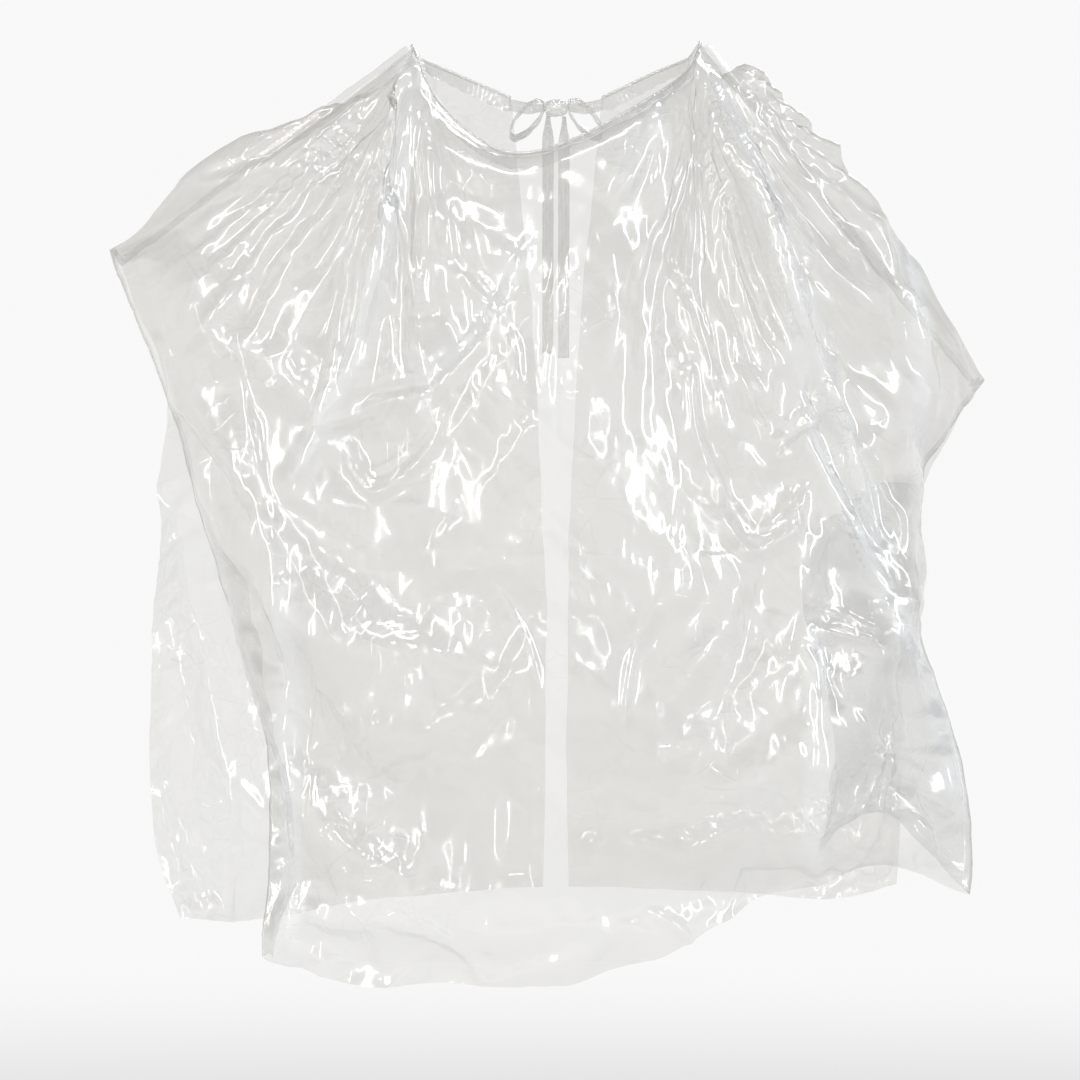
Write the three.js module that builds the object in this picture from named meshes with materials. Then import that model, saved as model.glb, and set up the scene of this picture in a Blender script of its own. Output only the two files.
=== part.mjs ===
// A clear disposable salon cape as it hangs on a wearer: one front panel that goes over both
// shoulders, two back panels welded to it along the shoulders, and a drawn neck with a tie.
// Millimetres, +Z up. The wearer faces -Y, so the wearer's left is +X. The origin is on the
// neck's axis, level with the lowest point of the neckline.
import * as THREE from "three";

// Film and fits. The real film is 0.03 mm thick; a panel is modelled thicker, so that it is a solid.
const FILM = 1.6;
const CLEARANCE = 0.3;
const SEAL_RADIUS = 1.3;

// The cape's outline, as it hangs.
const REACH = 271; // from the neck's axis to the wing tip
const LENGTH = 491; // from the neckline's lowest point to the front hem
const BACK_LENGTH = 476;
const CHEST = 128; // how far the front stands before the neck's axis
const BACK = 118; // how far the back stands behind it

// The neckline.
const NECK_HALF_WIDTH = 87;
const NECK_FRONT = 62;
const NECK_BACK = 56;
const NECK_RISE = 66; // the neck's sides above its lowest point
const NAPE_RISE = 38;
const BACK_SLIT = 28; // half the gap between the back panels at the nape

// The band welded along the neckline, and the ties at its ends, knotted in a bow at the nape.
const BAND_WIDTH = 11;
const BAND_THICKNESS = 1;
const BAND_LEAN = 32; // degrees that it leans in from hanging straight down
const TIE_WIDTH = 7;
const TIE_THICKNESS = 0.8;
const KNOT_WIDTH = 15;
const KNOT_HEIGHT = 11;
const KNOT_DEPTH = 10;
const LOOP_LENGTH = 34;
const LOOP_HEIGHT = 13;
const LOOP_DROOP = 58; // degrees below level
const TAIL_LENGTH = 170;
const TAIL_SPACING = 5; // each tail's top, out from the middle
const BOW_TILT = 41; // degrees: the slope of the wearer's back just below the nape

// How full each panel hangs between its edges, and how far the shoulders stand above the seams.
const CHEST_FULLNESS = 48;
const SHOULDER_FULLNESS = 24;
const BACK_FULLNESS = 24;
const RIGHT_CROWN = 34;
const LEFT_CROWN = 48;
const CROWN_AT = 0.1; // share of the way from seam to hem

const FRONT_COLUMNS = 36;
const FRONT_ROWS = 26;
const BACK_COLUMNS = 16;
const BACK_ROWS = 22;
const NECK_FROM = 10 / FRONT_COLUMNS; // share of the front's top edge where the neckline starts
const NECK_TO = 24 / FRONT_COLUMNS;
const BACK_NECK_TO = 6 / BACK_COLUMNS; // share of a back panel's top edge that lies on the neck

const finish = (color, roughness, opacity) =>
  new THREE.MeshStandardMaterial({ color, roughness, opacity, transparent: true });
const colours = {
  film: finish(0xe4ebee, 0.12, 0.35),
  seal: finish(0xf2f5f6, 0.25, 0.6),
  band: finish(0xe9eef0, 0.18, 0.45),
  tie: finish(0xeef2f3, 0.2, 0.6),
};

const point = (x, y, z) => new THREE.Vector3(x, y, z);
const curve = (points) => new THREE.CatmullRomCurve3(points, false, "catmullrom", 0.5);
const smooth = (from, to, value) => THREE.MathUtils.smoothstep(value, from, to);
const nearEdge = (share) => Math.abs(2 * share - 1);

// Points of the front's and the back's outline, as shares of the cape's reach, depth and length.
const front = (x, y, z) => point(x * REACH, y * CHEST, z * LENGTH);
const back = (x, y, z) => point(x * REACH, y * BACK, z * BACK_LENGTH);

// The neckline's closed ring, from the nape round by the wearer's right to the front and on to the left.
// It stands higher on the left, and its lowest point is a little to the right.
const neck = (x, y, z) =>
  point(x * NECK_HALF_WIDTH, y * (y < 0 ? NECK_FRONT : NECK_BACK), z * NECK_RISE);
const RIGHT_SHOULDER = neck(-1, 0.035, 1);
const LEFT_SHOULDER = neck(1, 0.035, 1.045);
const NAPE_RIGHT = point(-BACK_SLIT, 0.95 * NECK_BACK, NAPE_RISE);
const NAPE_LEFT = point(BACK_SLIT, 0.95 * NECK_BACK, NAPE_RISE);
const neckRight = [neck(-0.69, 0.83, 0.78), neck(-0.955, 0.5, 0.92), RIGHT_SHOULDER];
const neckFront = [
  neck(-0.83, -0.55, 0.5),
  neck(-0.52, -0.87, 0.12),
  neck(-0.23, -1, 0),
  neck(0.14, -0.985, 0.14),
  neck(0.575, -0.79, 0.455),
  neck(0.9, -0.39, 0.76),
];
const neckLeft = [LEFT_SHOULDER, neck(0.955, 0.5, 0.94), neck(0.69, 0.83, 0.8)];

// The shoulder seams run straight, set back behind the shoulders, from the neck to the wing tips.
const RIGHT_TIP = front(-0.982, 0.22, -0.134);
const LEFT_TIP = front(0.941, 0.22, -0.285);

// The side edges, from the seams down to the hem.
const frontRightEdge = curve([
  RIGHT_TIP,
  front(-1, 0.03, -0.122),
  front(-0.889, -0.125, -0.265),
  front(-0.786, -0.266, -0.448),
  front(-0.7, -0.39, -0.6),
  front(-0.642, -0.516, -0.713),
  front(-0.635, -0.61, -0.845),
  front(-0.638, -0.656, -0.971),
]);
const frontLeftEdge = curve([
  LEFT_TIP,
  front(0.959, 0.047, -0.281),
  front(0.823, -0.0625, -0.387),
  front(0.815, -0.14, -0.5),
  front(0.808, -0.19, -0.595),
  front(0.886, -0.266, -0.713),
  front(0.922, -0.31, -0.825),
  front(0.908, -0.344, -0.904),
]);
const frontHem = curve([
  front(-0.638, -0.656, -0.971),
  front(-0.55, -0.766, -0.986),
  front(-0.43, -0.83, -1),
  front(-0.22, -0.906, -0.998),
  front(0, -0.9375, -0.996),
  front(0.185, -0.914, -0.971),
  front(0.35, -0.844, -0.927),
  front(0.517, -0.72, -0.888),
  front(0.716, -0.547, -0.864),
  front(0.908, -0.344, -0.904),
]);

// Each panel's edge lies beside the seam's line, so that it clears the seal between them.
const SEAM_OFFSET = SEAL_RADIUS + CLEARANCE + FILM / 4;
function beside(shoulder, tip, towards) {
  const seam = tip.clone().sub(shoulder).normalize();
  return towards.clone().projectOnPlane(seam).setLength(SEAM_OFFSET);
}
const FORWARD_UP = point(0, -0.5, 0.86);
const BACK_DOWN = point(0, 0.6, -0.8);
const beforeRight = beside(RIGHT_SHOULDER, RIGHT_TIP, FORWARD_UP);
const beforeLeft = beside(LEFT_SHOULDER, LEFT_TIP, FORWARD_UP);
const behindRight = beside(RIGHT_SHOULDER, RIGHT_TIP, BACK_DOWN);
const behindLeft = beside(LEFT_SHOULDER, LEFT_TIP, BACK_DOWN);
const onSeam = (shoulder, tip, share, off) => shoulder.clone().lerp(tip, share).add(off);

const neckFrontCurve = curve([
  RIGHT_SHOULDER.clone().add(beforeRight),
  ...neckFront,
  LEFT_SHOULDER.clone().add(beforeLeft),
]);
function frontTop(u) {
  if (u < NECK_FROM) return onSeam(RIGHT_SHOULDER, RIGHT_TIP, 1 - u / NECK_FROM, beforeRight);
  if (u > NECK_TO) return onSeam(LEFT_SHOULDER, LEFT_TIP, (u - NECK_TO) / (1 - NECK_TO), beforeLeft);
  return neckFrontCurve.getPointAt((u - NECK_FROM) / (NECK_TO - NECK_FROM));
}

// Below the neckline the corners of the top edge fade out, as they do in film that hangs.
const CORNER_REACH = 0.16;
function softTop(u, v) {
  const reach = CORNER_REACH * smooth(0.06, 0.4, v);
  const soft = point(0, 0, 0);
  const weights = [1, 2, 3, 2, 1];
  weights.forEach((weight, i) => {
    const share = THREE.MathUtils.clamp(u + reach * (i / 2 - 1) * (1 - nearEdge(u) ** 2), 0, 1);
    soft.addScaledVector(frontTop(share), weight / 9);
  });
  return soft;
}

// A surface between four edges: each point is drawn from all of them.
function between(top, bottom, start, end, u, v) {
  const mixed = top(u, v).multiplyScalar(1 - v).addScaledVector(bottom(u), v);
  mixed.addScaledVector(start(v), 1 - u).addScaledVector(end(v), u);
  mixed.addScaledVector(top(0, 0), -(1 - u) * (1 - v)).addScaledVector(top(1, 0), -u * (1 - v));
  return mixed.addScaledVector(bottom(0), -(1 - u) * v).addScaledVector(bottom(1), -u * v);
}

// Fullness grows fast below the top edge, is greatest a third of the way down and ends at the hem.
const hang = (v) => Math.sin(Math.PI * Math.min(1, v) ** 0.65);

// The film rises from the seam to the crown of the shoulder, then comes down in front.
function crownHeight(u, v) {
  const rise = (v / CROWN_AT) * Math.exp(1 - v / CROWN_AT);
  const right = smooth(0, 0.07, u) * (1 - smooth(0.3 * NECK_FROM, 0.95 * NECK_FROM, u));
  const left = smooth(NECK_TO, NECK_TO + 0.15, u) * (1 - smooth(0.9, 1, u));
  return rise * (RIGHT_CROWN * right + LEFT_CROWN * left);
}

const sideShare = (v) => v ** 0.8;
function frontSurface(u, v) {
  const p = between(
    softTop,
    (s) => frontHem.getPoint(s),
    (s) => (s === 0 ? frontTop(0) : frontRightEdge.getPoint(sideShare(s))),
    (s) => (s === 0 ? frontTop(1) : frontLeftEdge.getPoint(sideShare(s))),
    u,
    v,
  );
  const edge = nearEdge(u);
  p.y -= (CHEST_FULLNESS + SHOULDER_FULLNESS * edge ** 2) * (1 - edge ** 8) * hang(v);
  p.z += crownHeight(u, v);
  return p;
}

// A back panel, from its edge at the slit (u 0) out to its side edge (u 1). side is -1 on the right.
const backSides = {
  "-1": {
    neck: curve([NAPE_RIGHT, ...neckRight.slice(0, -1), RIGHT_SHOULDER.clone().add(behindRight)]),
    shoulder: RIGHT_SHOULDER,
    tip: RIGHT_TIP,
    behind: behindRight,
    edge: curve([
      RIGHT_TIP,
      back(-0.955, 0.36, -0.19),
      back(-0.889, 0.45, -0.29),
      back(-0.9, 0.54, -0.42),
      back(-0.915, 0.59, -0.59),
      back(-0.926, 0.62, -0.76),
      back(-0.915, 0.64, -0.9),
      back(-0.87, 0.67, -0.99),
    ]),
    hem: curve([
      back(-0.06, 0.95, -0.955),
      back(-0.44, 1, -0.975),
      back(-0.7, 0.88, -1),
      back(-0.87, 0.67, -0.99),
    ]),
  },
  1: {
    neck: curve([NAPE_LEFT, ...neckLeft.slice(1).reverse(), LEFT_SHOULDER.clone().add(behindLeft)]),
    shoulder: LEFT_SHOULDER,
    tip: LEFT_TIP,
    behind: behindLeft,
    edge: curve([
      LEFT_TIP,
      back(0.9, 0.4, -0.35),
      back(0.835, 0.47, -0.42),
      back(0.81, 0.54, -0.52),
      back(0.805, 0.59, -0.65),
      back(0.797, 0.61, -0.8),
      back(0.79, 0.63, -0.88),
      back(0.78, 0.63, -0.945),
    ]),
    hem: curve([
      back(0.06, 0.95, -0.955),
      back(0.42, 0.98, -0.965),
      back(0.64, 0.85, -0.97),
      back(0.78, 0.63, -0.945),
    ]),
  },
};

// The slit's edge runs down the wearer's back, from the nape over the shoulder blades.
function slitEdge(side, start) {
  return curve([
    start,
    back(side * 0.1, 0.76, -0.01),
    back(side * 0.085, 0.94, -0.16),
    back(side * 0.07, 1, -0.34),
    back(side * 0.06, 0.97, -0.55),
    back(side * 0.055, 0.95, -0.76),
    back(side * 0.06, 0.95, -0.955),
  ]);
}

function backSurface(side) {
  const s = backSides[side];
  const start = side < 0 ? NAPE_RIGHT : NAPE_LEFT;
  const slit = slitEdge(side, start);
  const top = (u) =>
    u < BACK_NECK_TO
      ? s.neck.getPoint(u / BACK_NECK_TO)
      : onSeam(s.shoulder, s.tip, (u - BACK_NECK_TO) / (1 - BACK_NECK_TO), s.behind);
  const outer = (v) => (v === 0 ? top(1) : s.edge.getPoint(v));
  return (u, v) => {
    const p = between(top, (t) => s.hem.getPoint(t), (t) => slit.getPoint(t), outer, u, v);
    p.y += BACK_FULLNESS * (1 - nearEdge(u) ** 4) * hang(v);
    return p;
  };
}

// A closed sheet of even thickness that follows a surface, with closer rows near its top edge.
function sheet(surface, columns, rows, thickness, crowding = 1.35) {
  const geometry = new THREE.BoxGeometry(1, 1, 1, columns, rows, 1);
  const places = geometry.attributes.position;
  const row = (v) => Math.max(0, v) ** crowding;
  const step = 1e-3;
  for (let i = 0; i < places.count; i++) {
    const u = places.getX(i) + 0.5;
    const v = 0.5 - places.getY(i);
    const across = surface(Math.min(1, u + step), row(v)).sub(surface(Math.max(0, u - step), row(v)));
    const along = surface(u, row(Math.min(1, v + step))).sub(surface(u, row(Math.max(0, v - step))));
    const normal = along.cross(across).normalize();
    const p = surface(u, row(v)).addScaledVector(normal, places.getZ(i) * thickness);
    places.setXYZ(i, p.x, p.y, p.z);
  }
  return geometry;
}

const cape = new THREE.Group();
function add(name, geometry, material) {
  const mesh = new THREE.Mesh(geometry, material);
  mesh.name = name;
  cape.add(mesh);
  return mesh;
}

// A mirror-image surface runs the other way, so that its faces still point outwards.
const reversed = (surface) => (u, v) => surface(1 - u, v);

add("front_panel", sheet(frontSurface, FRONT_COLUMNS, FRONT_ROWS, FILM), colours.film);
add("right_back_panel", sheet(backSurface(-1), BACK_COLUMNS, BACK_ROWS, FILM), colours.film);
add("left_back_panel", sheet(reversed(backSurface(1)), BACK_COLUMNS, BACK_ROWS, FILM), colours.film);

// Each shoulder seal is the bead that the weld leaves, along the seam.
function seal(name, shoulder, tip) {
  const length = shoulder.distanceTo(tip) - 2 * (BAND_THICKNESS + FILM);
  const bead = new THREE.CylinderGeometry(SEAL_RADIUS, SEAL_RADIUS, length, 10);
  const mesh = add(name, bead, colours.seal);
  mesh.position.copy(shoulder).lerp(tip, 0.5);
  mesh.quaternion.setFromUnitVectors(point(0, 1, 0), tip.clone().sub(shoulder).normalize());
}
seal("right_shoulder_seal", RIGHT_SHOULDER, RIGHT_TIP);
seal("left_shoulder_seal", LEFT_SHOULDER, LEFT_TIP);

// The band hangs down inside the neckline, from one back panel's slit edge round to the other's.
const neckline = curve([NAPE_RIGHT, ...neckRight, ...neckFront, ...neckLeft, NAPE_LEFT]);
const BAND_INSET = FILM + BAND_THICKNESS / 2 + CLEARANCE;
const BAND_STEPS = 60;
function bandSurface(u, v) {
  const ahead = neckline.getTangentAt(u);
  const inward = point(-ahead.y, ahead.x, 0).normalize();
  const down = inward.clone().cross(ahead).normalize();
  const lean = THREE.MathUtils.degToRad(BAND_LEAN);
  const p = neckline.getPointAt(u).addScaledVector(inward, BAND_INSET + v * BAND_WIDTH * Math.sin(lean));
  return p.addScaledVector(down, v * BAND_WIDTH * Math.cos(lean));
}
add("neck_band", sheet(bandSurface, BAND_STEPS, 2, BAND_THICKNESS, 1), colours.band);

// The bow lies on the slope below the nape. Its frame has +Y out of the wearer's back.
const bow = new THREE.Group();
bow.position.set(0, NECK_BACK + 1.5 * KNOT_DEPTH, NAPE_RISE - BAND_WIDTH / 2);
bow.rotation.x = THREE.MathUtils.degToRad(BOW_TILT);
cape.add(bow);

function addToBow(name, geometry) {
  const mesh = new THREE.Mesh(geometry, colours.tie);
  mesh.name = name;
  bow.add(mesh);
  return mesh;
}

const KNOT_ROUNDING = 2.5;
function knot() {
  const flat = new THREE.Shape();
  const w = KNOT_WIDTH / 2 - KNOT_ROUNDING;
  const h = KNOT_HEIGHT / 2 - KNOT_ROUNDING;
  flat.moveTo(-w, -h).lineTo(w, -h).lineTo(w, h).lineTo(-w, h).closePath();
  const geometry = new THREE.ExtrudeGeometry(flat, {
    depth: KNOT_DEPTH - 2 * KNOT_ROUNDING,
    bevelThickness: KNOT_ROUNDING,
    bevelSize: KNOT_ROUNDING,
    bevelSegments: 3,
  });
  return geometry.translate(0, 0, KNOT_ROUNDING - KNOT_DEPTH / 2).rotateX(Math.PI / 2);
}
addToBow("bow_knot", knot());

// A loop is a ring of tie, which leaves the knot's side and droops. It lies outside the back panels.
const LOOP_OUT = 7;
function loop(side) {
  const ring = new THREE.Shape();
  const half = LOOP_LENGTH / 2;
  const middle = side * half;
  ring.absellipse(middle, 0, half, LOOP_HEIGHT / 2, 0, 2 * Math.PI);
  const hole = new THREE.Path();
  hole.absellipse(middle, 0, half - TIE_THICKNESS, LOOP_HEIGHT / 2 - TIE_THICKNESS, 0, 2 * Math.PI);
  ring.holes.push(hole);
  const flat = { depth: TIE_WIDTH, bevelEnabled: false, curveSegments: 16 };
  const geometry = new THREE.ExtrudeGeometry(ring, flat);
  return geometry.translate(0, 0, -TIE_WIDTH / 2).rotateX(Math.PI / 2);
}
const droop = THREE.MathUtils.degToRad(LOOP_DROOP);
const flatHalf = (LOOP_LENGTH / 2) * Math.cos(droop);
const tippedHalf = Math.hypot(flatHalf, (LOOP_HEIGHT / 2) * Math.sin(droop));
for (const [name, side] of [["right_bow_loop", -1], ["left_bow_loop", 1]]) {
  const mesh = addToBow(name, loop(side));
  mesh.rotation.y = side * droop;
  mesh.position.set(side * (KNOT_WIDTH / 2 + CLEARANCE + tippedHalf - flatHalf), LOOP_OUT, 0);
}

// Each tie runs from its end of the band to the knot, and comes out below it as a tail.
// A tie that is bunched at the knot starts narrow there.
function tieSheet(path, outward, steps, startShare) {
  const ribbon = (u, v) => {
    const across = path.getTangentAt(v).cross(outward).normalize();
    const width = TIE_WIDTH * THREE.MathUtils.lerp(startShare, 1, smooth(0, 0.12, v));
    return path.getPointAt(v).addScaledVector(across, (u - 0.5) * width);
  };
  return sheet(ribbon, 2, steps, TIE_THICKNESS, 1);
}
const BUNCHED = 0.3;

function tie(side) {
  const bandEnd = bandSurface(side < 0 ? 0 : 1, 0.5);
  const start = bandEnd.clone().add(point(-2 * side * CLEARANCE, 0, 0));
  const besideKnot = point(side * (KNOT_WIDTH / 2 + 2 * CLEARANCE), -KNOT_DEPTH / 4, 0);
  const knotSide = bow.position.clone().add(besideKnot);
  const path = curve([start, start.clone().lerp(knotSide, 0.5), knotSide]);
  return tieSheet(path, point(0, side, 0), 8, 1);
}
add("right_neck_tie", tie(-1), colours.tie);
add("left_neck_tie", tie(1), colours.tie);

// A tail follows the wearer's back down from the knot.
function tail(side) {
  const layer = -side * 1.5 * TIE_THICKNESS; // so that the tails can pass over each other
  const below = point(side * TAIL_SPACING, layer, -KNOT_HEIGHT / 2 - 2 * CLEARANCE);
  const start = bow.position.clone().add(below.applyEuler(bow.rotation));
  const at = (out, down) => start.clone().add(point(0, out * TAIL_LENGTH, -down * TAIL_LENGTH));
  const path = curve([start, at(0.18, 0.19), at(0.34, 0.47), at(0.39, 0.88)]);
  return tieSheet(path, point(0, 1, 0), 24, BUNCHED);
}
add("right_tie_tail", tail(-1), colours.tie);
add("left_tie_tail", tail(1), colours.tie);

export default cape;
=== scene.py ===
# A clear disposable salon cape, draped as it hangs on a wearer, with nobody in it.
import math

import bmesh
import bpy
import numpy as np
from mathutils import Matrix, Vector, noise


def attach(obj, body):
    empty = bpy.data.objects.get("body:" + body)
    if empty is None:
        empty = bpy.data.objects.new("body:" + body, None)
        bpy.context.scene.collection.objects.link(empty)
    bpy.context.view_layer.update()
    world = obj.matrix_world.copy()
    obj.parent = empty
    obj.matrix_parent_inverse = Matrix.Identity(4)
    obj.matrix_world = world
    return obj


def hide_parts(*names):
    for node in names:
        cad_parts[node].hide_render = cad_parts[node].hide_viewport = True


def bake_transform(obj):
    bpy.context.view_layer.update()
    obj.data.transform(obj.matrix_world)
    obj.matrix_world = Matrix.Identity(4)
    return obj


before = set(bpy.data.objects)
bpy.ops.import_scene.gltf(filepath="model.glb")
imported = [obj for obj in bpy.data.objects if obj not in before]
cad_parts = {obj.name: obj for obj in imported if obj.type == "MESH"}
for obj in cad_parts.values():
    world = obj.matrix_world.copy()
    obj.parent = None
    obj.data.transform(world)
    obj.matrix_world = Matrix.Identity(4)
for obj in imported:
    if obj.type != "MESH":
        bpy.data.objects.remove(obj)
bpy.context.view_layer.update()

MM = 0.001

# ---------------------------------------------------------------- the cape's cut and hang, in mm
REACH = 271  # from the neck's axis to the wing tip
LENGTH = 491  # from the neckline's lowest point to the front hem
BACK_LENGTH = 476
CHEST = 128  # how far the front hangs before the neck's axis
BACK = 118  # and the back behind it
NECK_HALF_WIDTH = 87
NECK_FRONT = 62  # how far the neckline reaches before its axis
NECK_BACK = 56  # and behind it
NECK_RISE = 66  # from the neckline's lowest point to its highest
NAPE_RISE = 38
BACK_SLIT = 28  # half the gap between the back panels at the nape
BAND_WIDTH = 11
BAND_LEAN = 32  # degrees that the band leans in
BAND_INSET = 0.9  # the band's top edge, in from the neckline
TIE_WIDTH = 7
TIE_THICKNESS = 0.25
TIE_COLUMNS = 12
SEAL_WIDTH = 5
KNOT_SIZE = (15, 10, 11)
LOOP_LENGTH = 34
LOOP_HEIGHT = 13
LOOP_DROOP = 58  # degrees below level
LOOP_OUT = 7  # how far the loops stand behind the knot's middle
TAIL_LENGTH = 170
TAIL_SPACING = 5  # each tail's top, out from the middle
BOW_TILT = 41  # degrees, the slope below the nape

RIGHT_CROWN = 27  # how far the film rises above each shoulder's seam
LEFT_CROWN = 48
HANG = 48  # how far the front bellies out in its middle
SIDE_HANG = 24  # and how much further at its sides
BACK_HANG = 24


def camera():
    """Level with the chest, straight in front, near enough for the hem to bow a little."""
    made = bpy.data.cameras.new("camera")
    eye = bpy.data.objects.new("camera", made)
    bpy.context.collection.objects.link(eye)
    distance = 3.2
    seen_width = 0.648
    aim = Vector((-0.010, -0.04, -0.231))
    eye.location = aim + Vector((0, -distance, 0.12))
    eye.rotation_mode = "QUATERNION"
    eye.rotation_quaternion = (aim - eye.location).to_track_quat("-Z", "Y")
    made.sensor_width = 36
    made.lens = made.sensor_width * distance / seen_width
    bpy.context.scene.camera = eye


camera()


# ---------------------------------------------------------------- curves and surfaces
def row(x, y, z):
    return np.array([x, y, z], float)


def front(x, y, z):
    return row(x * REACH, y * CHEST, z * LENGTH)


def back(x, y, z):
    return row(x * REACH, y * BACK, z * BACK_LENGTH)


def neck(x, y, z):
    return row(x * NECK_HALF_WIDTH, y * (NECK_FRONT if y < 0 else NECK_BACK), z * NECK_RISE)


def unit(v):
    return v / np.maximum(np.linalg.norm(v, axis=-1, keepdims=True), 1e-9)


def ramp(low, high, value):
    """0 below low, 1 above high and smooth between."""
    t = np.clip((value - low) / (high - low), 0, 1)
    return t * t * (3 - 2 * t)


class Curve:
    """A smooth curve through points, read by shares of its points or of its length."""

    def __init__(self, points):
        points = np.array(points, float)
        before = 2 * points[0] - points[1]
        after = 2 * points[-1] - points[-2]
        self.knots = np.vstack([before, points, after])
        self.spans = len(points) - 1
        self.shares = np.linspace(0, 1, 400)
        steps = np.linalg.norm(np.diff(self.at(self.shares), axis=0), axis=1)
        self.lengths = np.concatenate([[0], np.cumsum(steps)])

    def at(self, share):
        place = np.clip(share, 0, 1) * self.spans
        span = np.minimum(place.astype(int), self.spans - 1)
        t = (place - span)[..., None]
        a, b, c, d = (self.knots[span + k] for k in range(4))
        cubic = (3 * b - a - 3 * c + d) * t**3 + (2 * a - 5 * b + 4 * c - d) * t**2 + (c - a) * t
        return b + cubic / 2

    def along(self, share):
        length = np.clip(share, 0, 1) * self.lengths[-1]
        return self.at(np.interp(length, self.lengths, self.shares))


RIGHT_SHOULDER = neck(-1, 0.035, 1)
LEFT_SHOULDER = neck(1, 0.035, 1.045)
NAPE_RIGHT = row(-BACK_SLIT, 0.95 * NECK_BACK, NAPE_RISE)
NAPE_LEFT = row(BACK_SLIT, 0.95 * NECK_BACK, NAPE_RISE)
NECK_FRONT_POINTS = [
    neck(-0.83, -0.55, 0.5), neck(-0.52, -0.87, 0.12), neck(-0.23, -1, 0), neck(0.14, -0.985, 0.14),
    neck(0.575, -0.79, 0.455), neck(0.9, -0.39, 0.76),
]
RIGHT_TIP = front(-0.982, 0.22, -0.134)
LEFT_TIP = front(0.941, 0.22, -0.285)

neck_front = Curve([RIGHT_SHOULDER, *NECK_FRONT_POINTS, LEFT_SHOULDER])
neck_right = Curve([NAPE_RIGHT, neck(-0.69, 0.83, 0.78), neck(-0.955, 0.5, 0.92), RIGHT_SHOULDER])
neck_left = Curve([NAPE_LEFT, neck(0.69, 0.83, 0.8), neck(0.955, 0.5, 0.94), LEFT_SHOULDER])

front_right_edge = Curve([
    RIGHT_TIP, front(-1, 0.03, -0.122), front(-0.889, -0.125, -0.265),
    front(-0.786, -0.266, -0.448), front(-0.7, -0.39, -0.6), front(-0.642, -0.516, -0.713),
    front(-0.635, -0.61, -0.845), front(-0.638, -0.656, -0.971),
])
front_left_edge = Curve([
    LEFT_TIP, front(0.959, 0.047, -0.281), front(0.823, -0.0625, -0.387), front(0.815, -0.14, -0.5),
    front(0.808, -0.19, -0.595), front(0.886, -0.266, -0.713), front(0.922, -0.31, -0.825),
    front(0.908, -0.344, -0.904),
])
front_hem = Curve([
    front(-0.638, -0.656, -0.971), front(-0.55, -0.766, -0.986), front(-0.43, -0.83, -1),
    front(-0.22, -0.906, -0.998), front(0, -0.9375, -0.996), front(0.185, -0.914, -0.971),
    front(0.35, -0.844, -0.927), front(0.517, -0.72, -0.888), front(0.716, -0.547, -0.864),
    front(0.908, -0.344, -0.904),
])

NECK_FROM = 10 / 36  # share of the front's top edge where the neckline starts
NECK_TO = 24 / 36
BACK_NECK_TO = 6 / 16
CORNER_REACH = 0.16


def line(start, end, share):
    """Places on the straight line from start to end."""
    return start + (end - start) * np.asarray(share)[..., None]


def front_top(u):
    right = line(RIGHT_SHOULDER, RIGHT_TIP, 1 - u / NECK_FROM)
    left = line(LEFT_SHOULDER, LEFT_TIP, (u - NECK_TO) / (1 - NECK_TO))
    middle = neck_front.along((u - NECK_FROM) / (NECK_TO - NECK_FROM))
    top = np.where((u < NECK_FROM)[..., None], right, middle)
    return np.where((u > NECK_TO)[..., None], left, top)


def soft_top(u, v):
    """Below the neckline the corners of the top edge fade out."""
    reach = CORNER_REACH * ramp(0.06, 0.4, v) * (1 - (2 * u - 1) ** 2)
    weights = (1, 2, 3, 2, 1)
    soft = 0
    for i, weight in enumerate(weights):
        soft = soft + weight / sum(weights) * front_top(np.clip(u + reach * (i / 2 - 1), 0, 1))
    return soft


def between(top, bottom, start, end, u, v):
    """A surface between four edges."""
    zero, one = np.zeros_like(u), np.ones_like(u)
    up, vp = u[..., None], v[..., None]
    mixed = top(u, v) * (1 - vp) + bottom(u) * vp + start(v) * (1 - up) + end(v) * up
    corners = top(zero, zero) * (1 - up) * (1 - vp) + top(one, zero) * up * (1 - vp)
    return mixed - corners - bottom(zero) * (1 - up) * vp - bottom(one) * up * vp


def hang(v):
    """How much the film bellies out on its way down, from 0 to 1 and back."""
    return np.sin(np.pi * np.clip(v, 0, 1) ** 0.65)


def crown(u, v):
    """The film rises from the seam to the crown of the shoulder, then comes down in front."""
    rise = (v / 0.1) * np.exp(1 - v / 0.1)
    right = ramp(0, 0.07, u) * (1 - ramp(0.3 * NECK_FROM, 0.95 * NECK_FROM, u))
    left = ramp(NECK_TO, NECK_TO + 0.09, u) * (1 - ramp(0.94, 1, u))
    return rise * (RIGHT_CROWN * right + LEFT_CROWN * left)


def front_drape(u, v):
    p = between(soft_top, front_hem.at, lambda s: front_right_edge.at(s**0.8),
                lambda s: front_left_edge.at(s**0.8), u, v)
    edge = np.abs(2 * u - 1)
    p[..., 1] -= (HANG + SIDE_HANG * edge**2) * (1 - edge**8) * hang(v)
    p[..., 2] += crown(u, v)
    return p


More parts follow.
